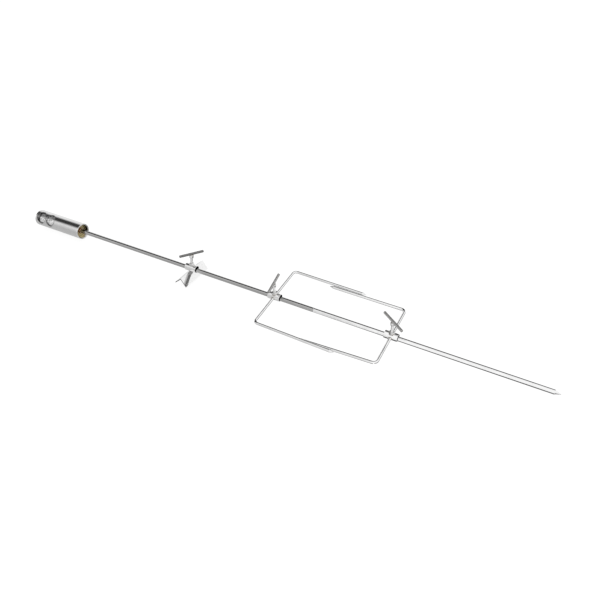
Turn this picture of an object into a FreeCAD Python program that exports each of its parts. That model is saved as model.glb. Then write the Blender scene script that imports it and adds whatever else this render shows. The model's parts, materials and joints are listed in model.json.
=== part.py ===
import FreeCAD, Part
import math
import os
import re
import Sketcher

from FreeCAD import Placement, Rotation, Vector

# Battery-driven rotisserie spit. X runs along the spit towards its point, Z is up.
# The origin is on the spit's axis, inside the plain stretch of the motor tube.
# All sizes are in millimetres.

SIZES = {
    # motor tube and what it holds
    "tube_od": 37.0,
    "tube_bore": 35.0,
    "tube_back": -99.6,
    "tube_len": 135.6,
    "tube_edge": 0.4,
    "tube_lip": 1.2,
    "window_dia": 26.4,
    "window_first": 18.1,
    "window_step": 29.0,
    "window_tilt": 45.0,
    "cap_play": 0.1,
    "cap_inset": 0.6,
    "cap_thick": 3.4,
    "slot_wide": 2.4,
    "slot_deep": 1.6,
    "spring_dia": 19.0,
    "spring_wire": 1.4,
    "spring_pitch": 1.7,
    "spring_turns": 3.6,
    "cell_dia": 32.6,
    "cell_drop": 1.15,
    "cell_len": 59.4,
    "cell_back": -87.9,
    "cell_edge": 1.2,
    "nub_dia": 9.5,
    "nub_len": 1.45,
    "contact_x": -27.0,
    "contact_dia": 18.0,
    "contact_thick": 0.5,
    "holder_thick": 6.0,
    "brush_cap_len": 3.5,
    "can_dia": 27.6,
    "can_wall": 0.8,
    "can_back": -17.0,
    "can_front": 5.0,
    "magnet_thick": 2.4,
    "rotor_dia": 20.4,
    "shaft_dia": 2.0,
    # gear box
    "plate_thick": 1.5,
    "box_dia": 34.6,
    "box_wall": 1.0,
    "box_len": 19.0,
    "gear_module": 0.55,
    "pinion_teeth": 8,
    "wheel_teeth": 24,
    "wheel_wide": 3.0,
    "pinion_wide": 4.2,
    "stage_step": 3.75,
    "first_wheel": 7.7,
    "lay_play": 0.05,
    "screw_ring": 13.5,
    "box_screw_dia": 2.0,
    "box_head_dia": 4.2,
    "box_head_len": 1.4,
    "hub_dia": 10.6,
    "hub_start": 22.8,
    "hub_end": 31.0,
    "hub_neck": 5.0,
    "bush_dia": 12.6,
    "bush_lip": 13.8,
    "bush_end": 30.4,
    "socket_side": 6.4,
    # spit rod
    "rod_dia": 9.5,
    "shank_side": 6.3,
    "shank_start": 24.8,
    "rod_start": 31.2,
    "joint_x": 647.0,
    "rod_edge": 0.5,
    "tip_x": 1117.0,
    "tip_len": 11.0,
    "tip_flat": 0.6,
    "stud_dia": 6.0,
    "stud_half": 17.0,
    "stud_play": 0.05,
    # clamps
    "collar_od": 16.0,
    "collar_bore": 13.4,
    "collar_len": 27.0,
    "collar_rise": 1.9,
    "collar_edge": 0.3,
    "nut_flats": 10.0,
    "nut_sink": 0.6,
    "nut_height": 5.4,
    "screw_dia": 6.0,
    "screw_play": 0.05,
    "screw_tip": 4.8,
    "head_low": 26.0,
    "head_high": 33.6,
    "head_dia": 10.0,
    "bar_dia": 5.5,
    "bar_len": 57.0,
    "bar_high": 35.3,
    # forks
    "wire_dia": 6.0,
    "wire_bend": 8.0,
    "prong_taper": 9.0,
    "arm_start": 5.0,
    "rear_far_half": 85.5,
    "rear_near_half": 82.5,
    "front_half": 76.5,
    "rear_far_len": 167.0,
    "rear_near_len": 173.0,
    "front_len": 165.0,
    # places along the spit
    "stop_x": 351.0,
    "rear_x": 558.5,
    "front_x": 811.0,
    # folded plate under the stop clamp
    "fold_high": -2.1,
    "fold_leg": 21.8,
    "fold_back": 40.5,
    "fold_front": 56.5,
    "fold_thick": 1.6,
    "fold_wide": 80.0,
}

# how far each T bar is turned from the spit's direction, in degrees
BAR_TURN = {"stop": 66.0, "rear_fork": -82.0, "front_fork": -35.0}

# how far each clamp is rolled about the spit, in degrees; the folded plate is welded on less rolled
ROLL = {"stop": -12.6, "stop_plate": -4.0, "rear_fork": 2.0, "front_fork": 1.2}

# how far each clamp screw is backed out from the bar, in millimetres
BACKED_OUT = {"stop": 0.0, "rear_fork": 1.8, "front_fork": 4.7}

# how far both prongs of the rear fork lean to the near side, and how far the front fork's near prong droops,
# in degrees
REAR_LEAN = 0.9
NEAR_DROOP = -3.5

TURN = {
    "X": Rotation(Vector(0, 1, 0), 90),
    "Y": Rotation(Vector(1, 0, 0), -90),
    "Z": Rotation(),
}

doc = FreeCAD.newDocument("spit_roaster")
sheet = doc.addObject("Spreadsheet::Sheet", "dims")
finished = []


def fill_sheet():
    for row, (alias, number) in enumerate(SIZES.items(), start=1):
        sheet.set(f"A{row}", alias)
        sheet.set(f"B{row}", str(number))
        sheet.setAlias(f"B{row}", alias)
    doc.recompute()


def formula(text):
    """Turn size names into references to the sheet's cells."""
    def cell(match):
        word = match.group(0)
        return f"dims.{word}" if word in SIZES else word

    return re.sub(r"[a-z][a-z_]*", cell, str(text))


def size(name):
    return float(sheet.get(name))


def bind(thing, **formulas):
    for path, text in formulas.items():
        thing.setExpression(path.replace("__", "."), formula(text))


def place(thing, x="0", y="0", z="0"):
    bind(thing, Placement__Base__x=x, Placement__Base__y=y, Placement__Base__z=z)
    return thing


def keep(thing, label):
    """Mark an object as a finished sub-part with its own name."""
    thing.Label = label
    finished.append(thing)
    return thing


def cylinder(radius, length, x="0", y="0", z="0", along="X"):
    thing = doc.addObject("Part::Cylinder", "bar")
    thing.Placement = Placement(Vector(), TURN[along])
    bind(thing, Radius=radius, Height=length)
    return place(thing, x, y, z)


def cone(radius_low, radius_high, length, x="0", y="0", z="0", along="X"):
    thing = doc.addObject("Part::Cone", "taper")
    thing.Placement = Placement(Vector(), TURN[along])
    bind(thing, Radius1=radius_low, Radius2=radius_high, Height=length)
    return place(thing, x, y, z)


def block(length, width, height, x="0", y="0", z="0"):
    thing = doc.addObject("Part::Box", "block")
    bind(thing, Length=length, Width=width, Height=height)
    return place(thing, x, y, z)


def joined(pieces, name="join"):
    thing = doc.addObject("Part::MultiFuse", name)
    thing.Shapes = pieces
    thing.Refine = True
    return thing


def carried(piece, name):
    """Wrap one shape, so that it can be placed once more as a whole."""
    thing = doc.addObject("Part::Compound", name)
    thing.Links = [piece]
    return thing


def cut(base, tool, name="cut"):
    thing = doc.addObject("Part::Cut", name)
    thing.Base = base
    thing.Tool = tool
    return thing


def turned(stations, y="0", z="0", along="X"):
    """A lathe-turned solid through (distance, radius) stations along an axis."""
    pieces = []
    for (start, r_start), (stop, r_stop) in zip(stations, stations[1:]):
        length = f"({stop}) - ({start})"
        spot = {"x": "0", "y": y, "z": z}
        spot[along.lower()] = start
        if r_start == r_stop:
            pieces.append(cylinder(r_start, length, along=along, **spot))
        elif start != stop:
            pieces.append(cone(r_start, r_stop, length, along=along, **spot))
    return pieces[0] if len(pieces) == 1 else joined(pieces)


def chamfered(start, stop, radius, edge, y="0", z="0", along="X"):
    """A turned bar with a small chamfer at both ends."""
    small = f"({radius}) - ({edge})"
    low = f"({start}) + ({edge})"
    high = f"({stop}) - ({edge})"
    return turned([(start, small), (low, radius), (high, radius), (stop, small)], y, z, along)


def spun(pieces, x, y="0", z="0", degrees=0.0, about=Vector(0, 0, 1)):
    """Turn a finished shape in place and carry it to its spot."""
    pieces.Placement = Placement(Vector(), Rotation(about, degrees)).multiply(pieces.Placement)
    return place(pieces, x, y, z)


def rolled(thing, name):
    """Roll a finished piece about the spit with the rest of its clamp."""
    thing.Placement = Placement(Vector(), Rotation(Vector(1, 0, 0), ROLL[name]))
    return thing


def origin_plane(body, role):
    return next(item for item in body.Origin.OriginFeatures if item.Role == role)


def circle_sketch(body, radius, name, lift="0"):
    """A circle about the X axis, in the plane at distance lift along it."""
    sketch = body.newObject("Sketcher::SketchObject", name)
    sketch.AttachmentSupport = (origin_plane(body, "YZ_Plane"), [""])
    sketch.MapMode = "FlatFace"
    sketch.addGeometry(Part.Circle(Vector(), Vector(0, 0, 1), 1.0), False)
    sketch.addConstraint(Sketcher.Constraint("Coincident", 0, 3, -1, 1))
    number = sketch.addConstraint(Sketcher.Constraint("Radius", 0, 1.0))
    sketch.setExpression(f"Constraints[{number}]", formula(radius))
    bind(sketch, AttachmentOffset__Base__z=lift)
    return sketch


def polygon_sketch(body, role, points, name, lift="0", turn=0.0):
    """A closed outline whose corners are each held by two bound distances."""
    sketch = body.newObject("Sketcher::SketchObject", name)
    sketch.AttachmentSupport = (origin_plane(body, role), [""])
    sketch.MapMode = "FlatFace"
    sketch.AttachmentOffset = Placement(Vector(), Rotation(Vector(0, 0, 1), turn))
    count = len(points)
    rough = [Vector(math.cos(math.tau * i / count), math.sin(math.tau * i / count), 0) for i in range(count)]
    for i in range(count):
        sketch.addGeometry(Part.LineSegment(rough[i], rough[(i + 1) % count]), False)
    for i in range(count):
        sketch.addConstraint(Sketcher.Constraint("Coincident", i, 2, (i + 1) % count, 1))
    for i, point in enumerate(points):
        for kind, text in zip(("DistanceX", "DistanceY"), point):
            number = sketch.addConstraint(Sketcher.Constraint(kind, -1, 1, i, 1, 1.0))
            sketch.setExpression(f"Constraints[{number}]", formula(text))
    bind(sketch, AttachmentOffset__Base__z=lift)
    return sketch


def pad(body, sketch, length, name, midplane=False):
    thing = body.newObject("PartDesign::Pad", name)
    thing.Profile = sketch
    thing.Midplane = midplane
    bind(thing, Length=length)
    return thing


def toothed(body, teeth, start, width, name, turn=0.0):
    """Add a spur gear's blank and teeth to a body, from start along X."""
    pitch = f"gear_module * {teeth} / 2"
    root = circle_sketch(body, f"{pitch} - 1.2 * gear_module", f"{name}_root", start)
    pad(body, root, width, f"{name}_blank")
    deep = f"{pitch} - 1.5 * gear_module"
    tip = f"{pitch} + 0.85 * gear_module"
    tooth = [
        (deep, "-0.80 * gear_module"),
        (pitch, "-0.62 * gear_module"),
        (tip, "-0.26 * gear_module"),
        (tip, "0.26 * gear_module"),
        (pitch, "0.62 * gear_module"),
        (deep, "0.80 * gear_module"),
    ]
    sketch = polygon_sketch(body, "YZ_Plane", tooth, f"{name}_tooth", start, turn)
    rib = pad(body, sketch, width, f"{name}_rib")
    ring = body.newObject("PartDesign::PolarPattern", f"{name}_teeth")
    ring.Originals = [rib]
    ring.Axis = (sketch, ["N_Axis"])
    ring.Angle = 360
    bind(ring, Occurrences=teeth)
    body.Tip = ring
    return ring


def bored(body, radius, start, length, name):
    """Pocket a round hole along X through a body."""
    sketch = circle_sketch(body, radius, f"{name}_circle", start)
    hole = body.newObject("PartDesign::Pocket", name)
    hole.Profile = sketch
    hole.Reversed = True
    bind(hole, Length=length)
    body.Tip = hole
    return hole


# ---------------------------------------------------------------- motor tube

def motor_tube():
    stop = "tube_back + tube_len"
    shell = chamfered("tube_back", stop, "tube_od / 2", "tube_edge")
    bore = cylinder("tube_bore / 2", "tube_len + 2", "tube_back - 1")
    windows = []
    for number in range(2):
        window = cylinder("window_dia / 2", "tube_od", along="Z")
        spot = f"tube_back + window_first + {number} * window_step"
        windows.append(spun(window, spot, degrees=size("window_tilt"), about=Vector(1, 0, 0)))
    lip = doc.addObject("Part::Torus", "rolled_lip")
    lip.Placement = Placement(Vector(), TURN["X"])
    bind(lip, Radius1="tube_od / 2 - tube_lip", Radius2="tube_lip")
    place(lip, f"{stop} - tube_lip")
    keep(joined([cut(shell, joined([bore] + windows)), lip]), "motor_tube")


def battery_cap():
    start = "tube_back + cap_inset"
    radius = "tube_bore / 2 - cap_play"
    disc = chamfered(start, f"{start} + cap_thick", radius, "tube_edge")
    slot = block("slot_deep", "cell_dia * 0.7", "slot_wide", start, "-cell_dia * 0.35", "-slot_wide / 2")
    keep(cut(disc, slot), "battery_cap")


def battery_spring():
    radius = (size("spring_dia") - size("spring_wire")) / 2
    height = size("spring_pitch") * size("spring_turns")
    path = Part.Wire(Part.makeHelix(size("spring_pitch"), height, radius))
    ring = Part.Wire(Part.makeCircle(size("spring_wire") / 2, Vector(radius, 0, 0), Vector(0, 1, 0)))
    thing = doc.addObject("Part::Feature", "coil")
    thing.Shape = path.makePipeShell([ring], True, True)
    back = size("tube_back") + size("cap_inset") + size("cap_thick")
    thing.Placement = Placement(Vector(back + size("spring_wire") / 2 + 0.05, 0, 0), TURN["X"])
    keep(thing, "battery_spring")


def battery():
    stop = "cell_back + cell_len"
    keep(chamfered("cell_back", stop, "cell_dia / 2", "cell_edge", z="-cell_drop"), "battery_cell")
    keep(cylinder("nub_dia / 2", "nub_len", stop, z="-cell_drop"), "battery_terminal")


def contact():
    keep(cylinder("contact_dia / 2", "contact_thick", "contact_x"), "battery_contact")
    keep(cylinder("tube_bore / 2", "holder_thick", "contact_x + contact_thick"), "contact_holder")


# --------------------------------------------------------------------- motor

def motor_shell():
    length = "can_front - can_back"
    outer = cylinder("can_dia / 2", length, "can_back")
    inner = cylinder("can_dia / 2 - can_wall", f"{length} - can_wall", "can_back")
    nose = cylinder("1.5 * shaft_dia", "3 * can_wall", "can_front - 2 * can_wall")
    keep(cut(outer, joined([inner, nose])), "motor_can")
    back = cylinder("can_dia / 2", "brush_cap_len", "can_back - brush_cap_len")
    hollow = cylinder("shaft_dia", "brush_cap_len", "can_back - brush_cap_len + 1")
    keep(cut(back, hollow), "motor_end_cap")
    bearing = cylinder("1.5 * shaft_dia", "2 * can_wall", "can_front - can_wall")
    hole = cylinder("shaft_dia / 2 + lay_play", "4 * can_wall", "can_front - 2 * can_wall")
    keep(cut(bearing, hole), "motor_bearing")


def motor_magnets():
    outer = cylinder("can_dia / 2 - can_wall", "14", "can_back + 3")
    inner = cylinder("can_dia / 2 - can_wall - magnet_thick", "16", "can_back + 2")
    gap = block("16", "can_dia", "6", "can_back + 2", "-can_dia / 2", "-3")
    keep(cut(outer, joined([inner, gap])), "motor_magnets")


def rotor():
    start = "can_back + 5"
    core = cylinder("rotor_dia / 2", "11", start)
    slots = [cylinder("shaft_dia / 2", "12", "can_back + 4.5")]
    for number in range(3):
        slot = carried(block("12", "3", "rotor_dia / 2", y="-1.5", z="0.2 * rotor_dia"), "rotor_slot")
        slots.append(spun(slot, "can_back + 4.5", degrees=120 * number, about=Vector(1, 0, 0)))
    keep(cut(core, joined(slots)), "rotor_core")
    keep(cylinder("shaft_dia / 2", "first_wheel + pinion_wide - can_back", "can_back - 1"), "rotor_shaft")
    ring = cylinder("2.8", "3.5", "can_back + 0.5")
    keep(cut(ring, cylinder("shaft_dia / 2", "5", "can_back")), "commutator")


def motor_brushes():
    pads = []
    for side in ("2.9", "-5.4"):
        pads.append(block("2.2", "2", "2.5", "can_back + 1", "-1", side))
    keep(joined(pads), "motor_brushes")


def motor_pinion():
    body = doc.addObject("PartDesign::Body", "motor_pinion")
    toothed(body, "pinion_teeth", "0", "wheel_wide + 0.2", "pinion")
    bored(body, "shaft_dia / 2", "-1", "wheel_wide + 3", "pinion_bore")
    place(body, "first_wheel - 0.1")
    keep(body, "motor_pinion")


# ------------------------------------------------------------------ gear box

SPREAD = "gear_module * (pinion_teeth + wheel_teeth) / 2"


def wheel_teeth(body, name):
    """A wheel turned by half a tooth, so that a gap faces the pinion's tooth."""
    toothed(body, "wheel_teeth", "0", "wheel_wide", name, 180 / size("wheel_teeth"))


def gear_stage(label, number, y):
    """A wheel with its own small pinion, loose on its axle."""
    body = doc.addObject("PartDesign::Body", label)
    wheel_teeth(body, f"{label}_wheel")
    toothed(body, "pinion_teeth", "wheel_wide", "pinion_wide", f"{label}_pinion")
    bored(body, "shaft_dia / 2 + lay_play", "-1", "wheel_wide + pinion_wide + 3", f"{label}_bore")
    place(body, f"first_wheel + {number} * stage_step", y)
    keep(body, label)


def gears():
    gear_stage("first_gear", 0, SPREAD)
    gear_stage("second_gear", 1, "0")
    gear_stage("third_gear", 2, SPREAD)
    body = doc.addObject("PartDesign::Body", "output_gear")
    wheel_teeth(body, "output_wheel")
    bored(body, "hub_neck / 2", "-1", "wheel_wide + 3", "output_bore")
    place(body, "first_wheel + 3 * stage_step")
    keep(body, "output_gear")
    keep(cylinder("shaft_dia / 2", "box_len + 2 * plate_thick - 0.4", "can_front + 0.4", SPREAD), "layshaft")
    start = "first_wheel + 2 * stage_step + wheel_wide + pinion_wide + 0.1"
    spacer = cylinder("0.9 * shaft_dia", f"can_front + plate_thick + box_len - ({start})", start, SPREAD)
    keep(cut(spacer, cylinder("shaft_dia / 2", "box_len", start, SPREAD)), "layshaft_spacer")


def gear_case():
    places = []
    for number in range(3):
        angle = math.radians(60 + 120 * number)
        places.append((f"screw_ring * {math.cos(angle):.6f}", f"screw_ring * {math.sin(angle):.6f}"))

    def screw_holes(start):
        return [cylinder("box_screw_dia / 2", "plate_thick + 2", f"{start} - 1", y, z) for y, z in places]

    back = cylinder("box_dia / 2", "plate_thick", "can_front")
    nose = cylinder("1.5 * shaft_dia", "plate_thick + 2", "can_front - 1")
    axle = cylinder("shaft_dia / 2", "plate_thick + 2", "can_front - 1", SPREAD)
    keep(cut(back, joined([nose, axle] + screw_holes("can_front"))), "gearbox_back_plate")

    case_start = "can_front + plate_thick"
    case = cylinder("box_dia / 2", "box_len", case_start)
    room = cylinder("box_dia / 2 - box_wall", "box_len + 2", f"{case_start} - 1")
    keep(cut(case, room), "gearbox_case")

    front_start = "can_front + plate_thick + box_len"
    front = cylinder("tube_bore / 2", "plate_thick", front_start)
    middle = cylinder("bush_dia / 2", "plate_thick + 2", f"{front_start} - 1")
    pin = cylinder("shaft_dia / 2", "plate_thick + 2", f"{front_start} - 1", SPREAD)
    keep(cut(front, joined([middle, pin] + screw_holes(front_start))), "gearbox_front_plate")

    screws = []
    face = f"{front_start} + plate_thick"
    for y, z in places:
        shank = cylinder("box_screw_dia / 2", "box_len + 2 * plate_thick", "can_front", y, z)
        head = cylinder("box_head_dia / 2", "box_head_len", face, y, z)
        slot_low = f"{z} - box_head_dia / 2"
        slot_back = f"{face} + 0.6 * box_head_len"
        slot = block("box_head_len", "0.6", "box_head_dia", slot_back, f"{y} - 0.3", slot_low)
        screws.append(cut(joined([shank, head]), slot))
    keep(joined(screws), "gearbox_screws")


def output():
    neck_start = "first_wheel + 3 * stage_step"
    stub_start = "first_wheel + stage_step - 0.1"
    shaft = turned([
        (stub_start, "shaft_dia / 2"),
        (neck_start, "shaft_dia / 2"),
        (neck_start, "hub_neck / 2"),
        ("hub_start", "hub_neck / 2"),
        ("hub_start", "hub_dia / 2"),
        ("hub_end", "hub_dia / 2"),
    ])
    corner = "-socket_side / 2"
    socket = block("hub_end - hub_start", "socket_side", "socket_side", "hub_start + 1.6", corner, corner)
    keep(cut(shaft, socket), "output_hub")
    lip_start = "can_front + 2 * plate_thick + box_len"
    body = cylinder("bush_dia / 2", f"bush_end - ({lip_start}) + plate_thick", f"{lip_start} - plate_thick")
    lip = cylinder("bush_lip / 2", "1.2", lip_start)
    bore = cylinder("hub_dia / 2 + lay_play", "20", "hub_start")
    keep(cut(joined([body, lip]), bore), "output_bush")


# ----------------------------------------------------------------- spit rod

def spit_rods():
    radius = "rod_dia / 2"
    corner = "-shank_side / 2"
    shank = block("rod_start - shank_start + 1", "shank_side", "shank_side", "shank_start", corner, corner)
    rear = chamfered("rod_start", "joint_x - 0.1", radius, "rod_edge")
    hole = cylinder("stud_dia / 2", "stud_half + 1", "joint_x - stud_half")
    keep(cut(joined([shank, rear]), hole), "rear_rod")

    small = f"{radius} - rod_edge"
    front = turned([
        ("joint_x + 0.1", small),
        ("joint_x + 0.1 + rod_edge", radius),
        ("tip_x - tip_len", radius),
        ("tip_x", "tip_flat / 2"),
    ])
    socket = cylinder("stud_dia / 2 + stud_play", "stud_half + 1.5", "joint_x - 1")
    keep(cut(front, socket), "front_rod")
    keep(cylinder("stud_dia / 2", "2 * stud_half - 0.5", "joint_x - stud_half"), "joint_stud")


# ------------------------------------------------------------------- clamps

def collar(name, x):
    start = f"{x} - collar_len / 2"
    stop = f"{x} + collar_len / 2"
    tube = chamfered(start, stop, "collar_od / 2", "collar_edge", z="collar_rise")
    bore = cylinder("collar_bore / 2", "collar_len + 2", f"{start} - 1", z="collar_rise")
    hole = cylinder("screw_dia / 2 + screw_play", "collar_od", x, along="Z")
    keep(rolled(cut(tube, joined([bore, hole])), name), f"{name}_collar")


def collar_outside(x):
    """The collar's outer surface as a tool that shapes what is welded to it."""
    return cylinder("collar_od / 2", "collar_len", f"{x} - collar_len / 2", z="collar_rise")


def weld_nut(name, x):
    """A hexagon nut with a turned crown, its foot cut to sit on the collar."""
    foot = "collar_rise + collar_od / 2 - nut_sink - 1"
    nut = doc.addObject("Part::Prism", "hexagon")
    nut.Polygon = 6
    bind(nut, Circumradius="nut_flats / sqrt(3)", Height="nut_height")
    place(nut, x, z=foot)
    lower = cylinder("nut_flats", "nut_height - 1", x, z=foot, along="Z")
    crown = cone("nut_flats / sqrt(3)", "nut_flats * 0.46", "1", x, z=f"{foot} + nut_height - 1", along="Z")
    crowned = doc.addObject("Part::Common", "crowned")
    crowned.Base = nut
    crowned.Tool = joined([lower, crown])
    thread = cylinder("screw_dia / 2 + screw_play", "4 * nut_height", x, along="Z")
    keep(rolled(cut(crowned, joined([collar_outside(x), thread])), name), f"{name}_nut")


def clamp_screw(name, x):
    """Screw with a round head, and the T bar welded across it in a groove."""
    out = BACKED_OUT[name]
    turn = math.radians(BAR_TURN[name])
    tip_radius = "screw_dia / 2 - rod_edge"
    shaft = turned([
        ("screw_tip", tip_radius),
        ("screw_tip + rod_edge", "screw_dia / 2"),
        ("head_low", "screw_dia / 2"),
        ("head_low", "head_dia / 2"),
        ("head_high", "head_dia / 2"),
    ], along="Z")
    place(shaft, x, z=out)
    groove = carried(cylinder("bar_dia / 2", "bar_len", "-bar_len / 2"), "groove")
    spun(groove, x, z=f"bar_high + {out}", degrees=math.degrees(turn))
    keep(rolled(cut(shaft, groove), name), f"{name}_screw")
    bar = chamfered("-bar_len / 2", "bar_len / 2", "bar_dia / 2", "rod_edge")
    spun(bar, x, z=f"bar_high + {out}", degrees=math.degrees(turn))
    keep(rolled(carried(bar, "bar"), name), f"{name}_t_bar")


def clamp(name, x):
    collar(name, x)
    weld_nut(name, x)
    clamp_screw(name, x)


def prong(name, label, x, half, length, side, facing, toe_in=0.0, droop=0.0):
    """One bent wire: out from the collar's side, round the bend, then along the spit."""
    radius = "wire_dia / 2"
    arm_y = "arm_start" if side > 0 else f"wire_bend - {half}"
    arm = cylinder(radius, f"{half} - wire_bend - arm_start", "0", arm_y, along="Y")

    run = f"{length} - wire_bend - prong_taper"
    run_y = f"{side} * wire_bend"
    if facing > 0:
        straight = cylinder(radius, run, "0", run_y)
        point = cone(radius, "tip_flat / 2", "prong_taper", run, run_y)
    else:
        straight = cylinder(radius, run, f"-({run})", run_y)
        point = cone("tip_flat / 2", radius, "prong_taper", f"-({run}) - prong_taper", run_y)
    bend_x = f"{facing} * wire_bend"
    bend_y = f"{side} * ({half} - wire_bend)"
    leg = spun(joined([straight, point], "leg"), bend_x, bend_y, degrees=-toe_in * side * facing)

    bend = doc.addObject("Part::Torus", "bend")
    bind(bend, Radius1="wire_bend", Radius2=radius)
    bend.Angle3 = 90 + toe_in
    first = {(1, 1): 90 - toe_in, (1, -1): 0, (-1, 1): 180, (-1, -1): 270 - toe_in}[(side, facing)]
    bend.Placement = Placement(Vector(), Rotation(Vector(0, 0, 1), first))
    place(bend, bend_x, bend_y)

    wire = spun(joined([arm, bend, leg], "wire"), x, z="collar_rise", degrees=droop, about=Vector(0, 1, 0))
    keep(rolled(cut(wire, collar_outside(x)), name), f"{name}_{label}_prong")


def rear_fork():
    clamp("rear_fork", "rear_x")
    prong("rear_fork", "far", "rear_x", "rear_far_half", "rear_far_len", 1, 1, REAR_LEAN)
    prong("rear_fork", "near", "rear_x", "rear_near_half", "rear_near_len", -1, 1, -REAR_LEAN)


def front_fork():
    clamp("front_fork", "front_x")
    prong("front_fork", "far", "front_x", "front_half", "front_len", 1, -1)
    prong("front_fork", "near", "front_x", "front_half", "front_len", -1, -1, droop=NEAR_DROOP)


def stop_plate():
    """Folded strip with its ridge across the spit, welded under the stop's collar."""
    body = doc.addObject("PartDesign::Body", "folded_strip")
    half_fold = "(180 - fold_back - fold_front) / 2"
    inner_x = f"fold_thick / sin({half_fold}) * sin((fold_front - fold_back) / 2)"
    inner_z = f"fold_thick / sin({half_fold}) * cos((fold_front - fold_back) / 2)"
    corners = [
        ("0", "0"),
        ("fold_leg * cos(fold_front)", "-fold_leg * sin(fold_front)"),
        ("fold_leg * cos(fold_front) - fold_thick * sin(fold_front)",
         "-fold_leg * sin(fold_front) - fold_thick * cos(fold_front)"),
        (f"-({inner_x})", f"-({inner_z})"),
        ("fold_thick * sin(fold_back) - fold_leg * cos(fold_back)",
         "-fold_leg * sin(fold_back) - fold_thick * cos(fold_back)"),
        ("-fold_leg * cos(fold_back)", "-fold_leg * sin(fold_back)"),
    ]
    sketch = polygon_sketch(body, "XZ_Plane", corners, "fold_outline")
    pad(body, sketch, "fold_wide", "fold", midplane=True)
    place(body, "stop_x", z="fold_high")
    strip = rolled(carried(body, "strip"), "stop_plate")
    notch = rolled(carried(collar_outside("stop_x"), "notch"), "stop")
    keep(cut(strip, notch), "stop_plate")


def check_and_export():
    doc.recompute()
    os.makedirs("parts", exist_ok=True)
    for thing in doc.Objects:
        bad = [word for word in thing.State if word in ("Invalid", "Error")]
        if bad:
            raise RuntimeError(f"{thing.Name} ({thing.Label}) did not build: {bad}")
    for thing in finished:
        shape = thing.Shape
        if shape.isNull() or not shape.isValid():
            raise RuntimeError(f"{thing.Label} has no valid shape")
        shape.exportStep(os.path.join("parts", f"{thing.Label}.step"))
        print(f"{thing.Label}: {len(shape.Solids)} solid(s), {shape.Volume:.1f} mm3")


fill_sheet()
motor_tube()
battery_cap()
battery_spring()
battery()
contact()
motor_shell()
motor_magnets()
rotor()
motor_brushes()
motor_pinion()
gears()
gear_case()
output()
spit_rods()
clamp("stop", "stop_x")
stop_plate()
rear_fork()
front_fork()
check_and_export()
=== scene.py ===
import json
import math
import random

import bpy
from mathutils import Matrix, Vector


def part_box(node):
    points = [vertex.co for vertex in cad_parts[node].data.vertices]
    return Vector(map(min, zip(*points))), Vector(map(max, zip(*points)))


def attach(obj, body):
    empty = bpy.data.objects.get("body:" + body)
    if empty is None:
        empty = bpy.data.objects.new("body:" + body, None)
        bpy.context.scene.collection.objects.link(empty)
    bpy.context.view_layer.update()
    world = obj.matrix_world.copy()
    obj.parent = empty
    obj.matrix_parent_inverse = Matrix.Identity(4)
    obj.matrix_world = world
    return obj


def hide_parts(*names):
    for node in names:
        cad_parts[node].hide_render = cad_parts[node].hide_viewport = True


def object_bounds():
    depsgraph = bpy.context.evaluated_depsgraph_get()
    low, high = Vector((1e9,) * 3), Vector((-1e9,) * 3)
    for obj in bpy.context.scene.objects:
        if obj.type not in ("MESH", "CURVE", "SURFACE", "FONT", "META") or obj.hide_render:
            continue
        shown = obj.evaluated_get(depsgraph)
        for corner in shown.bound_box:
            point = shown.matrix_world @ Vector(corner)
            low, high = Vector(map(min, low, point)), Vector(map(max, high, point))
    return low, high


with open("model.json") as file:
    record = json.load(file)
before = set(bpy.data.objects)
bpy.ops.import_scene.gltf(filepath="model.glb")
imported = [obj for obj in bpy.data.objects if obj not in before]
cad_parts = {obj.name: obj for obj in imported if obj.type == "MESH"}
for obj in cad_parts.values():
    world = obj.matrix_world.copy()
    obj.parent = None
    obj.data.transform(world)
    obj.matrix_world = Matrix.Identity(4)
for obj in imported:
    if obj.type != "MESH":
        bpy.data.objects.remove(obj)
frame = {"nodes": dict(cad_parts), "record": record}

NODES = frame["nodes"]
CAD_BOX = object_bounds()
MM = 0.001

# the finger windows' centres, from the tube's closed end, and the radius of the painted shade ring round each
WINDOW_FIRST = 18.1 * MM
WINDOW_STEP = 29.0 * MM
RIM_SHADE_RADIUS = 13.6 * MM

bpy.context.scene.view_settings.view_transform = "Standard"


# ------------------------------------------------------------ shader helpers

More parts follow.
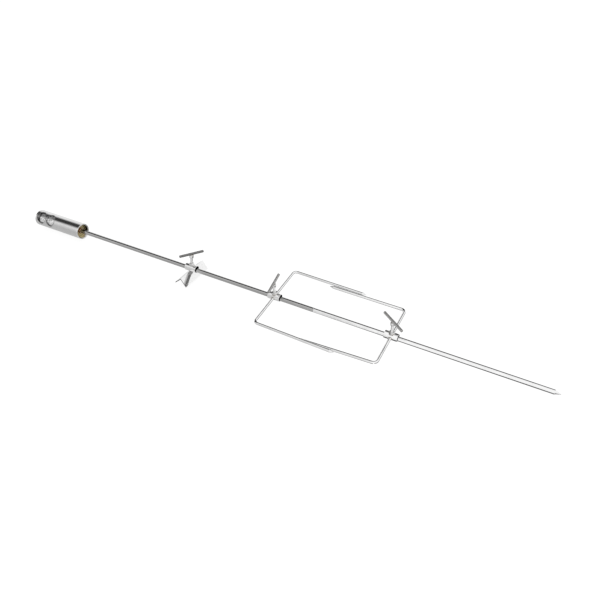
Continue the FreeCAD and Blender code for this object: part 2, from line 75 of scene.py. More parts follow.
class Shader:
    """A material's node tree with short ways to add and link nodes."""

    def __init__(self, name, tree=None):
        if tree is None:
            self.material = bpy.data.materials.new(name)
            self.material.use_nodes = True
            tree = self.material.node_tree
        self.tree = tree
        self.tree.nodes.clear()

    def node(self, kind, **settings):
        made = self.tree.nodes.new(f"ShaderNode{kind}")
        for key, value in settings.items():
            setattr(made, key, value)
        return made

    def feed(self, socket, value):
        if isinstance(value, bpy.types.NodeSocket):
            self.tree.links.new(value, socket)
        else:
            socket.default_value = value

    def math(self, operation, a, b=0.0):
        made = self.node("Math", operation=operation)
        self.feed(made.inputs[0], a)
        self.feed(made.inputs[1], b)
        return made.outputs[0]

    def point(self, stretch=(1, 1, 1), shift=(0, 0, 0)):
        """Row-frame coordinates, stretched; they stay with the piece when it moves."""
        coordinate = self.node("TexCoord")
        mapping = self.node("Mapping")
        self.feed(mapping.inputs["Vector"], coordinate.outputs["Object"])
        mapping.inputs["Scale"].default_value = stretch
        mapping.inputs["Location"].default_value = shift
        return mapping.outputs[0]

    def noise(self, scale, detail=3.0, stretch=(1, 1, 1), rough=0.55, shift=(0, 0, 0)):
        made = self.node("TexNoise")
        self.feed(made.inputs["Vector"], self.point(stretch, shift))
        made.inputs["Scale"].default_value = scale
        made.inputs["Detail"].default_value = detail
        made.inputs["Roughness"].default_value = rough
        return made.outputs["Fac"]

    def spread(self, value, low, high, to_low=0.0, to_high=1.0, smooth=False):
        made = self.node("MapRange", clamp=True)
        made.interpolation_type = "SMOOTHSTEP" if smooth else "LINEAR"
        self.feed(made.inputs["Value"], value)
        for key, number in (("From Min", low), ("From Max", high), ("To Min", to_low), ("To Max", to_high)):
            made.inputs[key].default_value = number
        return made.outputs["Result"]

    def mix(self, factor, a, b):
        made = self.node("Mix", data_type="RGBA")
        self.feed(made.inputs["Factor"], factor)
        self.feed(made.inputs["A"], a)
        self.feed(made.inputs["B"], b)
        return made.outputs["Result"]

    def bump(self, height, distance, strength=1.0, under=None):
        made = self.node("Bump")
        made.inputs["Distance"].default_value = distance
        made.inputs["Strength"].default_value = strength
        self.feed(made.inputs["Height"], height)
        if under is not None:
            self.feed(made.inputs["Normal"], under)
        return made.outputs[0]

    def finish(self, **inputs):
        surface = self.node("BsdfPrincipled")
        for key, value in inputs.items():
            self.feed(surface.inputs[key.replace("_", " ")], value)
        output = self.node("OutputMaterial")
        self.tree.links.new(surface.outputs[0], output.inputs["Surface"])
        return self.material


def grey(value, warm=0.0):
    return (value * (1 + warm), value, value * (1 - warm), 1.0)


# ----------------------------------------------------------------- materials

def drawn_steel(name, tone, rough, lines="X", line_depth=0.004, smudge=0.10, warm=0.004):
    """Bright steel with drawing lines along one axis, handling smudges and fine scratches."""
    s = Shader(name)
    fine = {"X": (0.02, 1, 1), "Y": (1, 0.02, 1), "Z": (1, 1, 0.02)}[lines]
    grain = s.noise(2600, 2.0, fine, 0.6)
    wide_grain = s.noise(620, 2.0, fine, 0.5, (0.3, 0.1, 0.7))
    patches = s.noise(38, 4.0, (1, 1.6, 1.6), 0.62)
    scratches = s.spread(s.noise(900, 1.0, (0.12, 1, 1), 0.4, (2.0, 1.0, 0.4)), 0.66, 0.72)
    shade = s.mix(s.spread(patches, 0.35, 0.70), grey(tone, warm), grey(tone * 0.90, warm * 2))
    shade = s.mix(s.spread(grain, 0.40, 0.62, 0.0, 0.22), shade, grey(tone * 0.72))
    roughness = s.math("ADD", s.spread(patches, 0.30, 0.72, rough - smudge * 0.4, rough + smudge),
                       s.spread(grain, 0.35, 0.65, -0.03, 0.05))
    height = s.math("ADD", grain, s.math("MULTIPLY", wide_grain, 0.8))
    height = s.math("SUBTRACT", height, s.math("MULTIPLY", scratches, 0.7))
    return s.finish(Base_Color=shade, Metallic=1.0, Roughness=roughness,
                    Normal=s.bump(height, line_depth * MM, 0.7))


def radius_from(s, centre):
    """Distance from an axis parallel to X through centre."""
    place = s.node("SeparateXYZ")
    s.feed(place.inputs[0], s.point())
    across = s.math("POWER", s.math("SUBTRACT", place.outputs[1], centre.y), 2.0)
    upright = s.math("POWER", s.math("SUBTRACT", place.outputs[2], centre.z), 2.0)
    return s.math("SQRT", s.math("ADD", across, upright))


def from_window(s, centre_x):
    """Distance from the axis of a finger window, which leans 45 degrees to the near side."""
    place = s.node("SeparateXYZ")
    s.feed(place.inputs[0], s.point())
    along = s.math("POWER", s.math("SUBTRACT", place.outputs[0], centre_x), 2.0)
    across = s.math("POWER", s.math("ADD", place.outputs[1], place.outputs[2]), 2.0)
    return s.math("SQRT", s.math("ADD", along, s.math("MULTIPLY", across, 0.5)))


def polished_tube_steel():
    """Polished tube with faint rings from the belt and finger marks; dull inside, with painted shade on the
    bore's upper far side towards the open end, a painted shade ring round each finger window and a painted
    highlight on the lip.
    """
    s = Shader("polished_tube")
    low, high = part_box("motor_tube")
    rings = s.noise(1500, 2.0, (1, 0.03, 0.03), 0.6)
    broad_rings = s.noise(160, 2.0, (1, 0.05, 0.05), 0.5, (0.2, 0.6, 0.1))
    marks = s.noise(70, 5.0, (1, 1, 1), 0.65, (0.4, 0.2, 0.9))
    nicks = s.spread(s.noise(420, 1.0, (1, 0.25, 0.25), 0.3, (1, 2, 3)), 0.70, 0.76)
    place = s.node("SeparateXYZ")
    s.feed(place.inputs[0], s.point())
    wall = s.spread(radius_from(s, Vector()), 17.55 * MM, 17.8 * MM)
    lip = s.spread(place.outputs[0], high.x - 2.3 * MM, high.x - 1.9 * MM)
    outside = s.math("MAXIMUM", wall, lip)
    # painted shade: a darker, rougher ring round each finger window's edge
    rim_shade = 0.0
    for centre_x in (low.x + WINDOW_FIRST, low.x + WINDOW_FIRST + WINDOW_STEP):
        reach = s.math("ABSOLUTE", s.math("SUBTRACT", from_window(s, centre_x), RIM_SHADE_RADIUS))
        rim_shade = s.math("MAXIMUM", rim_shade, s.spread(reach, 1.0 * MM, 0.5 * MM))
    # painted shade inside the bore: near-black on its upper far side towards the open end
    far_up = s.math("ADD", place.outputs[1], s.math("MULTIPLY", place.outputs[2], 0.7))
    bore_shade = s.math("MULTIPLY", s.spread(far_up, 3 * MM, 9 * MM), s.spread(place.outputs[0], 0.0, 10 * MM))
    inside = s.mix(bore_shade, grey(0.85), grey(0.02))
    shade = s.mix(s.spread(marks, 0.40, 0.72), grey(0.77), grey(0.71, 0.006))
    shade = s.mix(s.spread(rings, 0.38, 0.66, 0.0, 0.12), shade, grey(0.56))
    # painted shade round the finger windows
    shade = s.mix(s.math("MULTIPLY", rim_shade, 0.7), shade, grey(0.24))
    shade = s.mix(outside, inside, shade)
    # painted highlight: the lip's brighter base colour
    shade = s.mix(s.math("MULTIPLY", lip, 0.8), shade, grey(0.96))
    roughness = s.math("ADD", s.spread(marks, 0.35, 0.70, 0.075, 0.14),
                       s.spread(rings, 0.3, 0.7, -0.02, 0.04))
    roughness = s.math("ADD", roughness, s.spread(outside, 0.0, 1.0, 0.35, 0.0))
    roughness = s.math("ADD", roughness, s.math("MULTIPLY", rim_shade, 0.25))
    height = s.math("ADD", rings, s.math("MULTIPLY", broad_rings, 1.4))
    height = s.math("SUBTRACT", height, s.math("MULTIPLY", nicks, 0.8))
    return s.finish(Base_Color=shade, Metallic=1.0, Roughness=roughness,
                    Normal=s.bump(height, 0.0035 * MM, 0.8))


def collar_steel(name):
    """Turned collar: fine rings outside; the bore's near-black colour is painted shade."""
    s = Shader(f"{name}_collar_steel")
    low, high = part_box(f"{name}_collar")
    rings = s.noise(2100, 2.0, (1, 0.04, 0.04), 0.55)
    patches = s.noise(120, 4.0, (1, 1, 1), 0.6, (0.5, 0.3, 0.2))
    outside = s.spread(radius_from(s, (low + high) / 2), 6.95 * MM, 7.25 * MM)
    shade = s.mix(s.spread(patches, 0.38, 0.70), grey(0.97), grey(0.88, 0.008))
    shade = s.mix(s.spread(rings, 0.42, 0.62, 0.0, 0.12), shade, grey(0.66))
    # painted shade: the bore's base colour is near-black
    shade = s.mix(outside, grey(0.02), shade)
    roughness = s.math("ADD", s.spread(patches, 0.3, 0.7, 0.06, 0.14), s.spread(outside, 0.0, 1.0, 0.4, 0.0))
    return s.finish(Base_Color=shade, Metallic=1.0, Roughness=roughness,
                    Normal=s.bump(rings, 0.003 * MM, 0.8))


def mirror_steel():
    """Mirror-polished sheet: a slight waviness from folding, hairline scratches, dull sheared edges."""
    s = Shader("mirror_sheet")
    low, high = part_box("stop_plate")
    facing, place = s.node("SeparateXYZ"), s.node("SeparateXYZ")
    s.feed(facing.inputs[0], s.node("TexCoord").outputs["Normal"])
    s.feed(place.inputs[0], s.point())
    outward = s.math("SIGN", s.math("SUBTRACT", place.outputs[0], (low.x + high.x) / 2))
    outward = s.math("MULTIPLY", outward, facing.outputs[0])
    downward = s.math("LESS_THAN", facing.outputs[2], -0.2)
    foot_edge = s.math("MULTIPLY", s.math("GREATER_THAN", outward, 0.1), downward)
    side_edge = s.math("GREATER_THAN", s.math("ABSOLUTE", facing.outputs[1]), 0.6)
    sheared = s.math("MAXIMUM", foot_edge, side_edge)
    waves = s.noise(45, 2.0, (1, 1, 1), 0.4)
    hair = s.spread(s.noise(1300, 1.0, (1, 0.08, 1), 0.4, (3, 1, 2)), 0.64, 0.70)
    dust = s.noise(240, 4.0, (1, 1, 1), 0.7, (1, 4, 2))
    shade = s.mix(s.spread(dust, 0.45, 0.75), grey(0.90), grey(0.80, 0.004))
    shade = s.mix(sheared, shade, grey(0.10))
    roughness = s.math("ADD", s.spread(dust, 0.40, 0.75, 0.035, 0.12), s.math("MULTIPLY", hair, 0.10))
    roughness = s.math("ADD", roughness, s.math("MULTIPLY", sheared, 0.4))
    rolled = s.bump(waves, 0.05 * MM, 0.5)
    return s.finish(Base_Color=shade, Metallic=1.0, Roughness=roughness,
                    Normal=s.bump(hair, 0.004 * MM, 0.5, rolled))


def turned_steel(name, tone, rough, axis="X"):
    """Lathe-turned steel: rings across the part's axis and slightly duller patches."""
    s = Shader(name)
    across = {"X": (1, 0.04, 0.04), "Z": (0.04, 0.04, 1)}[axis]
    rings = s.noise(2100, 2.0, across, 0.55)
    patches = s.noise(120, 4.0, (1, 1, 1), 0.6, (0.5, 0.3, 0.2))
    shade = s.mix(s.spread(patches, 0.38, 0.70), grey(tone), grey(tone * 0.86, 0.01))
    shade = s.mix(s.spread(rings, 0.42, 0.62, 0.0, 0.25), shade, grey(tone * 0.66))
    roughness = s.math("ADD", s.spread(patches, 0.3, 0.7, rough - 0.04, rough + 0.08),
                       s.spread(rings, 0.3, 0.7, -0.03, 0.05))
    return s.finish(Base_Color=shade, Metallic=1.0, Roughness=roughness,
                    Normal=s.bump(rings, 0.008 * MM, 0.8))


def weld_steel():
    """Brushed-off weld: lumpy, grey, with a trace of straw and blue heat tint."""
    s = Shader("weld_metal")
    lumps = s.noise(700, 4.0, (1, 1, 1), 0.6)
    tint = s.noise(260, 2.0, (1, 1, 1), 0.5, (2, 5, 1))
    shade = s.mix(s.spread(tint, 0.42, 0.62), grey(0.52), (0.50, 0.43, 0.33, 1.0))
    shade = s.mix(s.spread(tint, 0.60, 0.72), shade, (0.36, 0.38, 0.46, 1.0))
    roughness = s.spread(lumps, 0.3, 0.7, 0.28, 0.52)
    return s.finish(Base_Color=shade, Metallic=1.0, Roughness=roughness, Normal=s.bump(lumps, 0.12 * MM, 0.9))


def yellow_zinc():
    """Yellow-passivated zinc plate: olive gold that drifts towards green and pink."""
    s = Shader("yellow_passivate")
    drift = s.noise(95, 4.0, (1, 1, 1), 0.6)
    speck = s.noise(1400, 3.0, (1, 1, 1), 0.6, (1, 1, 4))
    shade = s.mix(s.spread(drift, 0.36, 0.54), (0.60, 0.55, 0.29, 1), (0.68, 0.55, 0.27, 1))
    shade = s.mix(s.spread(drift, 0.54, 0.70), shade, (0.64, 0.47, 0.35, 1))
    shade = s.mix(s.spread(speck, 0.48, 0.70, 0.0, 0.5), shade, (0.30, 0.26, 0.13, 1))
    roughness = s.spread(speck, 0.3, 0.7, 0.28, 0.46)
    return s.finish(Base_Color=shade, Metallic=0.85, Roughness=roughness,
                    Normal=s.bump(speck, 0.02 * MM, 0.6))


def alloy(name, bright, dull, rough, metallic=1.0, scale=180):
    """Copper, brass or bronze with darker tarnish in patches and fine machining lines."""
    s = Shader(name)
    tarnish = s.noise(scale, 5.0, (1, 1, 1), 0.62)
    lines = s.noise(2400, 2.0, (1, 0.05, 0.05), 0.5, (2, 2, 2))
    shade = s.mix(s.spread(tarnish, 0.38, 0.68), (*bright, 1.0), (*dull, 1.0))
    shade = s.mix(s.spread(lines, 0.45, 0.70, 0.0, 0.3), shade, (*dull, 1.0))
    roughness = s.spread(tarnish, 0.3, 0.7, rough - 0.05, rough + 0.14)
    return s.finish(Base_Color=shade, Metallic=metallic, Roughness=roughness,
                    Normal=s.bump(lines, 0.006 * MM, 0.7))


def pressed(name, dark, light, rough, metallic=0.0, scale=900, depth=0.03):
    """Moulded plastic, pressed ferrite or carbon: fine grain with lighter wear."""
    s = Shader(name)
    grain = s.noise(scale, 4.0, (1, 1, 1), 0.65)
    wear = s.noise(70, 4.0, (1, 1, 1), 0.6, (3, 2, 1))
    shade = s.mix(s.spread(wear, 0.45, 0.72, 0.0, 0.7), (*dark, 1.0), (*light, 1.0))
    shade = s.mix(s.spread(grain, 0.5, 0.75, 0.0, 0.35), shade, (*light, 1.0))
    roughness = s.spread(wear, 0.3, 0.7, rough, rough + 0.14)
    return s.finish(Base_Color=shade, Metallic=metallic, Roughness=roughness,
                    Normal=s.bump(grain, depth * MM, 0.7))


def laminated_iron():
    """Rotor stack: thin sheets seen as sharp lines across the axis."""
    s = Shader("laminations")
    place = s.node("SeparateXYZ")
    s.feed(place.inputs[0], s.point())
    wave = s.math("SINE", s.math("MULTIPLY", place.outputs[0], math.tau / (0.5 * MM)))
    rust = s.noise(300, 4.0)
    shade = s.mix(s.spread(rust, 0.42, 0.70), grey(0.24), (0.23, 0.17, 0.13, 1.0))
    shade = s.mix(s.spread(wave, 0.6, 1.0, 0.0, 0.6), shade, grey(0.08))
    return s.finish(Base_Color=shade, Metallic=0.9, Roughness=s.spread(rust, 0.3, 0.7, 0.35, 0.55),
                    Normal=s.bump(wave, 0.02 * MM, 0.8))


def cell_sleeve():
    """Metallised film round the cell: silver with grey flecks, a plain dark band and shrink ripples."""
    s = Shader("cell_sleeve")
    start, stop = (corner[0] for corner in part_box("battery_cell"))
    place = s.node("SeparateXYZ")
    s.feed(place.inputs[0], s.point())
    along = s.spread(place.outputs[0], start, stop)
    ripple = s.noise(240, 4.0, (0.5, 1, 1), 0.6)
    speckle = s.noise(330, 3.0, (1, 1, 1), 0.6, (2, 0, 1))
    band = s.math("MULTIPLY", s.math("GREATER_THAN", along, 0.80), s.math("LESS_THAN", along, 0.93))
    shade = s.mix(s.spread(speckle, 0.47, 0.57), grey(0.97), grey(0.38, 0.005))
    shade = s.mix(band, shade, (0.20, 0.21, 0.23, 1.0))
    roughness = s.spread(speckle, 0.3, 0.7, 0.20, 0.42)
    return s.finish(Base_Color=shade, Metallic=0.9, Roughness=roughness,
                    Normal=s.bump(ripple, 0.10 * MM, 0.6))


MATERIALS = {
    "tube_steel": polished_tube_steel(),
    "spit_steel": drawn_steel("drawn_bar", 0.54, 0.10, line_depth=0.0012, smudge=0.05),
    "point_steel": drawn_steel("polished_bar", 0.97, 0.07, line_depth=0.0006, smudge=0.04, warm=0.0),
    "wire_steel": drawn_steel("polished_wire", 0.97, 0.07, line_depth=0.0006, smudge=0.04, warm=0.0),
    "clamp_steel": turned_steel("turned_steel", 0.92, 0.12),
    "nut_zinc": turned_steel("plated_nut", 0.84, 0.14, "Z"),
    "mirror_steel": mirror_steel(),
    "spring_steel": drawn_steel("spring_wire", 0.62, 0.22, "X", 0.003),
    "cell_jacket": cell_sleeve(),
    "cell_tip": turned_steel("cell_cap", 0.74, 0.18),
    "contact_brass": alloy("contact_brass", (0.72, 0.56, 0.28), (0.42, 0.30, 0.14), 0.26),
    "black_plastic": pressed("black_moulding", (0.018, 0.018, 0.020), (0.06, 0.06, 0.064), 0.42),
    "motor_zinc": turned_steel("motor_can_zinc", 0.62, 0.26),
    "bearing_bronze": alloy("sintered_bronze", (0.52, 0.34, 0.18), (0.24, 0.15, 0.08), 0.40, 1.0, 600),
    "magnet_ferrite": pressed("ferrite", (0.05, 0.05, 0.055), (0.13, 0.13, 0.13), 0.55, 0.2),
    "rotor_iron": laminated_iron(),
    "copper": alloy("copper_bush", (0.96, 0.76, 0.66), (0.66, 0.44, 0.36), 0.30),
    "brush_carbon": pressed("carbon", (0.025, 0.025, 0.025), (0.08, 0.08, 0.08), 0.50, 0.3),
    "gear_brass": alloy("gear_brass", (0.70, 0.54, 0.26), (0.44, 0.32, 0.15), 0.24),
    "yellow_zinc": yellow_zinc(),
}
WELD = weld_steel()

# The three T bars' different tones are painted light and shade, one tone per bar.
BAR_SHADE_TONES = {"stop": 0.27, "rear_fork": 0.50, "front_fork": 0.62}


def dress_nodes():
    slots = {part["node"]: part["material_slot"] for part in frame["record"]["subparts"]}
    for name, thing in NODES.items():
        if name.endswith("_collar"):
            material = collar_steel(name.removesuffix("_collar"))
        elif name.endswith("_t_bar"):
            # each T bar's tone is painted light and shade
            tone = BAR_SHADE_TONES[name.removesuffix("_t_bar")]
            material = drawn_steel(f"{name}_steel", tone, 0.40, "Y", warm=0.01)
        else:
            material = MATERIALS[slots[name]]
        thing.data.materials.clear()
        thing.data.materials.append(material)


# -------------------------------------------------------------- mesh helpers

def piece(name, verts, faces, material, body):
    """A finished mesh that rides on a body and takes the material it is given."""
    mesh = bpy.data.meshes.new(name)
    mesh.from_pydata([tuple(v) for v in verts], [], faces)
    mesh.validate()
    for face in mesh.polygons:
        face.use_smooth = True
    mesh.materials.append(material)
    thing = bpy.data.objects.new(name, mesh)
    bpy.context.scene.collection.objects.link(thing)
    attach(thing, body)
    return thing


def grid_faces(rows, columns, start=0, close_rows=False):
    """Quads between rows of a closed ring of columns."""
    faces = []
    for row in range(rows if close_rows else rows - 1):
        following = (row + 1) % rows
        for column in range(columns):
            neighbour = (column + 1) % columns
            faces.append((start + row * columns + column, start + row * columns + neighbour,
                          start + following * columns + neighbour, start + following * columns + column))
    return faces


def rounded(profile, radius, steps=4):
    """Round every inner corner of a (distance, radius) profile with a short curve."""
    points = [profile[0]]
    for before, corner, after in zip(profile, profile[1:], profile[2:]):
        a, b, c = (Vector((*p, 0)) for p in (before, corner, after))
        reach_in = min(radius, (a - b).length * 0.45)
        reach_out = min(radius, (c - b).length * 0.45)
        start = b + (a - b).normalized() * reach_in
        stop = b + (c - b).normalized() * reach_out
        for step in range(steps + 1):
            t = step / steps
            spot = start.lerp(b, t).lerp(b.lerp(stop, t), t)
            points.append((spot.x, spot.y))
    points.append(profile[-1])
    return points


def lathe(profile, centre, segments=64):
    """Vertices and faces of a (distance, radius) profile turned about X through centre."""
    verts = []
    for distance, radius in profile:
        for k in range(segments):
            angle = math.tau * k / segments
            verts.append(centre + Vector((distance, radius * math.cos(angle), radius * math.sin(angle))))
    faces = grid_faces(len(profile), segments)
    last = (len(profile) - 1) * segments
    faces.append(tuple(range(segments - 1, -1, -1)))
    faces.append(tuple(range(last, last + segments)))
    return verts, faces


def bead(path, radius, closed, seed, ripple=0.16, sides=10):
    """A rippled weld bead along a path; each ripple is one drop of the weld."""
    rng = random.Random(seed)
    count = len(path)
    verts = []
    for i, spot in enumerate(path):
        before = path[i - 1] if closed or i else path[i]
        after = path[(i + 1) % count] if closed or i + 1 < count else path[i]
        along = (after - before).normalized()
        side = along.orthogonal().normalized()
        other = along.cross(side)
        swell = 1 + ripple * math.sin(i * 1.9) + rng.uniform(-0.06, 0.06)
        end = 1.0 if closed else min(1.0, 0.25 + 0.35 * min(i, count - 1 - i))
        for k in range(sides):
            angle = math.tau * k / sides
            verts.append(spot + (side * math.cos(angle) + other * math.sin(angle)) * radius * swell * end)
    faces = grid_faces(count, sides, 0, closed)
    if not closed:
        faces.append(tuple(range(sides - 1, -1, -1)))
        faces.append(tuple(range((count - 1) * sides, count * sides)))
    return verts, faces


# --------------------------------------------------------------- clamp parts

class Clamp:
    """A clamp's own directions and sizes, read from its screw's joint and its collar."""

    def __init__(self, name, body, tightener):
        self.name, self.body, self.tightener = name, body, tightener
        turn = next(j for j in frame["record"]["behaviour"]["joints"] if j["name"] == f"{name}_screw_turn")
        self.foot = Vector(turn["pos_m"])
        self.up = Vector(turn["axis"]).normalized()
        self.ahead = Vector((1, 0, 0))
        self.far = self.up.cross(self.ahead)
        low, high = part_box(f"{name}_collar")
        self.axis = (low + high) / 2
        self.collar_radius = (high.y - low.y) / 2

    def along_screw(self, node):
        """How low and how high a node reaches along the screw, from the spit's axis."""
        heights = [(v.co - self.foot).dot(self.up) for v in NODES[f"{self.name}_{node}"].data.vertices]
        return min(heights), max(heights)

    def spot(self, ahead, far, up):
        return self.foot + self.ahead * ahead + self.far * far + self.up * up

    def on_collar(self, ahead, far):
        """The point of the collar's upper side that lies over (ahead, far)."""
        rise = math.sqrt(max(self.collar_radius ** 2 - far ** 2, 0))
        return self.axis + self.ahead * ahead + self.far * far + self.up * rise


def threaded_shank(clamp, low, high):
    """Rows of points for a real helical thread, tapering in over its first turn."""
    crest, depth, pitch, segments = 2.98 * MM, 0.55 * MM, 1.0 * MM, 28
    rows = int((high - low) / pitch * 8)
    verts = []
    for row in range(rows + 1):
        height = low + (high - low) * row / rows
        lead = min(1.0, (height - low) / (1.2 * MM))
        for k in range(segments):
            phase = ((height - pitch * k / segments) / pitch) % 1.0
            flank = min(1.0, 1.3 * max(0.0, 1 - abs(phase - 0.5) * 2.5))
            radius = crest - depth + depth * flank * lead
            angle = math.tau * k / segments
            verts.append(clamp.spot(radius * math.cos(angle), radius * math.sin(angle), height))
    faces = grid_faces(rows + 1, segments)
    faces.append(tuple(range(segments - 1, -1, -1)))
    faces.append(tuple(range(rows * segments, (rows + 1) * segments)))
    return verts, faces


def clamp_screw(clamp):
    """Screw with a helical thread and a round-edged head."""
    low, high = clamp.along_screw("screw")
    head_radius = 5.0 * MM
    head_low = high - 7.6 * MM
    verts, faces = threaded_shank(clamp, low, head_low)
    top = high - 0.6 * MM
    profile = rounded([(head_low - 0.1 * MM, 0.4 * MM), (head_low - 0.1 * MM, head_radius * 0.84),
                       (head_low + 1.2 * MM, head_radius), (top - 1.0 * MM, head_radius),
                       (top, head_radius * 0.78), (top, 0.4 * MM)], 0.9 * MM)
    segments, start = 48, len(verts)
    for height, radius in profile:
        for k in range(segments):
            angle = math.tau * k / segments
            verts.append(clamp.spot(radius * math.cos(angle), radius * math.sin(angle), height))
    faces += grid_faces(len(profile), segments, start)
    last = start + (len(profile) - 1) * segments
    faces.append(tuple(range(start + segments - 1, start - 1, -1)))
    faces.append(tuple(range(last, last + segments)))
    made = piece(f"{clamp.name}_threaded_screw", verts, faces, MATERIALS["clamp_steel"], clamp.tightener)
    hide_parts(f"{clamp.name}_screw")


def bar_welds(clamp):
    """Two short fillets where the T bar lies across the screw's head."""
    bar_low, bar_high = clamp.along_screw("t_bar")
    points = [v.co for v in NODES[f"{clamp.name}_t_bar"].data.vertices]
    end = max(points, key=lambda co: (co - clamp.foot).dot(clamp.ahead)) - clamp.foot
    along = (clamp.ahead * end.dot(clamp.ahead) + clamp.far * end.dot(clamp.far)).normalized()
    across = clamp.up.cross(along)
    height = (bar_low + bar_high) / 2 - 2.2 * MM
    for side, label in ((-1, "near"), (1, "far")):
        base = clamp.foot + clamp.up * height + across * side * 2.1 * MM
        path = [base + along * (t * 0.36 - 3.6) * MM for t in range(21)]
        verts, faces = bead(path, 0.85 * MM, False, f"{clamp.name}{side}")
        piece(f"{clamp.name}_bar_weld_{label}", verts, faces, WELD, clamp.tightener)


def nut_weld(clamp):
    """Weld all round the nut's foot, following the collar's curve."""
    flats = 5.1 * MM
    path = []
    for k in range(60):
        angle = math.tau * k / 60
        wedge = angle % (math.pi / 3) - math.pi / 6
        reach = flats / math.cos(wedge)
        path.append(clamp.on_collar(reach * math.cos(angle), reach * math.sin(angle)))
    verts, faces = bead(path, 0.65 * MM, True, f"{clamp.name}nut")
    piece(f"{clamp.name}_nut_weld", verts, faces, WELD, clamp.body)


def prong_weld(clamp, side, label):
    """Weld round the wire where it meets the collar's side."""
    wire = 3.0 * MM
    path = []
    for k in range(44):
        angle = math.tau * k / 44
        rise = wire * math.sin(angle)
        out = side * math.sqrt(clamp.collar_radius ** 2 - rise ** 2)
        path.append(clamp.axis + clamp.ahead * wire * math.cos(angle) + clamp.far * out + clamp.up * rise)
    verts, faces = bead(path, 0.8 * MM, True, f"{clamp.name}{label}")
    piece(f"{clamp.name}_{label}_weld", verts, faces, WELD, clamp.body)


def plate_weld(clamp):
    """Weld where the folded plate's two legs leave the stop's collar."""
    ridge = max(v.co.z for v in NODES["stop_plate"].data.vertices if abs(v.co.y) > 0.03)
    sink = clamp.axis.z + 2.2 * MM - ridge
    half_wide = math.sqrt(clamp.collar_radius ** 2 - sink ** 2)
    path = []
    for k in range(48):
        angle = math.tau * k / 48
        y = half_wide * math.cos(angle)
        drop = math.sqrt(clamp.collar_radius ** 2 - y ** 2) - sink
        slope = 0.66 if math.sin(angle) > 0 else 1.15
        path.append(clamp.axis + Vector((math.copysign(drop * slope, math.sin(angle)), y, -sink - drop)))
    verts, faces = bead(path, 0.6 * MM, True, "plate")
    piece("stop_plate_weld", verts, faces, WELD, clamp.body)


def cell_body():
    """The cell's can: sleeve over crimped ends, with a bead below the positive cap."""
    low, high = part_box("battery_cell")
    centre = Vector((0, (low.y + high.y) / 2, (low.z + high.z) / 2))
    radius = (high.z - low.z) / 2
    start, stop = low.x, high.x
    profile = rounded([
        (start + 0.5 * MM, 0.5 * MM), (start + 0.5 * MM, radius * 0.72), (start, radius * 0.78),
        (start, radius * 0.93), (start + 0.9 * MM, radius), (stop - 4.6 * MM, radius),
        (stop - 4.0 * MM, radius - 0.8 * MM), (stop - 3.2 * MM, radius - 0.8 * MM),
        (stop - 2.6 * MM, radius), (stop - 0.9 * MM, radius), (stop, radius * 0.92),
        (stop, radius * 0.80), (stop - 0.7 * MM, radius * 0.74), (stop - 0.7 * MM, 0.5 * MM)], 0.35 * MM)
    verts, faces = lathe(profile, centre, 96)
    made = piece("cell_can", verts, faces, MATERIALS["cell_jacket"], "battery")
    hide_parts("battery_cell")


def clamps():
    stop = Clamp("stop", "stop_clamp", "stop_tightener")
    rear = Clamp("rear_fork", "rear_fork", "rear_tightener")
    front = Clamp("front_fork", "front_fork", "front_tightener")
    for clamp in (stop, rear, front):
        clamp_screw(clamp)
        bar_welds(clamp)
        nut_weld(clamp)
    for clamp in (rear, front):
        prong_weld(clamp, 1, "far")
        prong_weld(clamp, -1, "near")
    plate_weld(stop)


# ------------------------------------------------------- floor, light, camera

def floor():
    mesh = bpy.data.meshes.new("studio_floor")
    reach = 12.0
    mesh.from_pydata([(-reach, -reach, 0), (reach, -reach, 0), (reach, reach, 0), (-reach, reach, 0)], [],
                     [(0, 1, 2, 3)])
    thing = bpy.data.objects.new("studio_floor", mesh)
    thing.location = (0.5, 0, CAD_BOX[0].z - 0.0002)
    bpy.context.scene.collection.objects.link(thing)
    s = Shader("lit_white_table")
    mottle = s.noise(3.0, 3.0)
    shade = s.mix(s.spread(mottle, 0.3, 0.7), grey(0.15), grey(0.17))
    mesh.materials.append(s.finish(Base_Color=shade, Roughness=0.95, Specular_IOR_Level=0.0,
                                   Emission_Color=grey(1.0), Emission_Strength=0.88))
    thing.visible_glossy = False


SLANT = 90.0


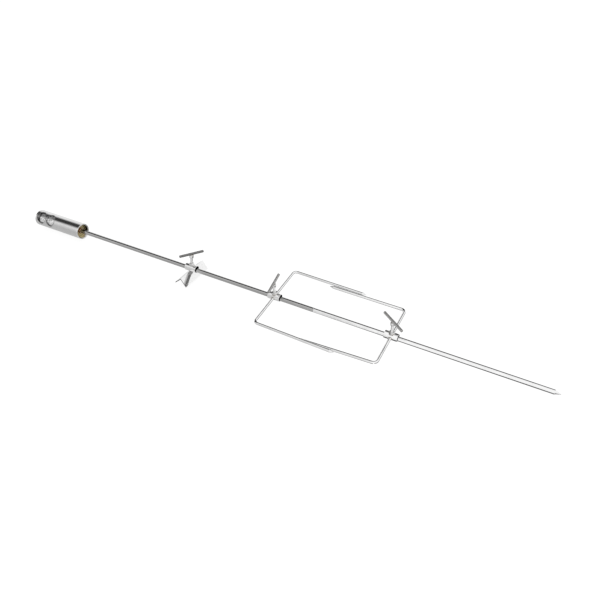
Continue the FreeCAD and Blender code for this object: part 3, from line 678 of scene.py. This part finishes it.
def studio_world():
    """A white tent with two long dark gaps and a dimmer front wall, which give round steel its lines.

    Only reflections see the gaps; the background and the diffuse light stay plain white.
    Angles are degrees about the spit's X axis: 0 is level behind, 90 overhead, -90 below. The gaps lean by
    SLANT degrees from square across the spit to straight along it.
    """
    world = bpy.data.worlds.new("studio")
    bpy.context.scene.world = world
    world.use_nodes = True
    s = Shader("studio", world.node_tree)
    way = s.node("SeparateXYZ")
    s.feed(way.inputs[0], s.node("TexCoord").outputs["Generated"])
    ahead = way.outputs[0]
    turn = s.math("DEGREES", s.math("ARCTAN2", way.outputs[2], way.outputs[1]))
    turn = s.math("ADD", turn, s.math("MULTIPLY", ahead, SLANT))

    def strip(centre, half_width, blur):
        """1 inside a strip of the tent, fading to 0 over the blur on either side."""
        away = s.math("PINGPONG", s.math("SUBTRACT", turn, centre), 180.0)
        return s.spread(away, half_width + blur, half_width)

    toward_motor = s.spread(ahead, -0.2, -0.4)
    toward_point = s.math("SUBTRACT", 1.0, toward_motor)
    shade = s.mix(s.math("MULTIPLY", strip(180, 60, 60), toward_motor), grey(1.0), grey(0.6))
    shade = s.mix(strip(20, 20, 30), shade, grey(0.05))
    shade = s.mix(s.math("MULTIPLY", strip(-130, 20, 20), toward_point), shade, grey(0.05))
    shade = s.mix(s.spread(ahead, 0.06, 0.18, smooth=True), shade, grey(1.0))
    low_side = s.math("MULTIPLY", s.spread(ahead, 0.45, 0.60), s.math("LESS_THAN", way.outputs[2], 0.12))
    shade = s.mix(low_side, shade, grey(0.30))
    path = s.node("LightPath")
    unseen = s.math("MAXIMUM", path.outputs["Is Camera Ray"], path.outputs["Is Diffuse Ray"])
    shade = s.mix(unseen, shade, grey(1.02))
    background = s.node("Background")
    s.feed(background.inputs["Color"], shade)
    output = s.node("OutputWorld")
    s.tree.links.new(background.outputs[0], output.inputs["Surface"])


def soft_light(name, place, size, power, target):
    light = bpy.data.lights.new(name, "AREA")
    light.shape = "RECTANGLE"
    light.size, light.size_y = size
    light.energy = power
    thing = bpy.data.objects.new(name, light)
    thing.location = place
    thing.rotation_euler = (Vector(target) - Vector(place)).to_track_quat("-Z", "Y").to_euler()
    thing.visible_glossy = False
    bpy.context.scene.collection.objects.link(thing)


def camera():
    """Above and in front of the spit's point, looking back along it, at arm's length."""
    place = Vector((1.022, -0.743, 0.772))
    target = Vector((0.609, 0.0143, 0.0))
    roll = math.radians(-1.35)
    data = bpy.data.cameras.new("camera")
    data.sensor_width = 36.0
    data.lens = 34.26
    data.clip_start = 0.01
    thing = bpy.data.objects.new("camera", data)
    look = (target - place).to_track_quat("-Z", "Y").to_matrix().to_4x4()
    thing.matrix_world = Matrix.Translation(place) @ look @ Matrix.Rotation(roll, 4, "Z")
    bpy.context.scene.collection.objects.link(thing)
    bpy.context.scene.camera = thing


dress_nodes()
clamps()
cell_body()
floor()
studio_world()
soft_light("top_light", (0.5, -0.2, 2.2), (2.4, 1.6), 10, (0.5, 0, 0))
soft_light("front_light", (0.9, -2.0, 1.4), (1.6, 1.2), 6, (0.5, 0, 0))
camera()
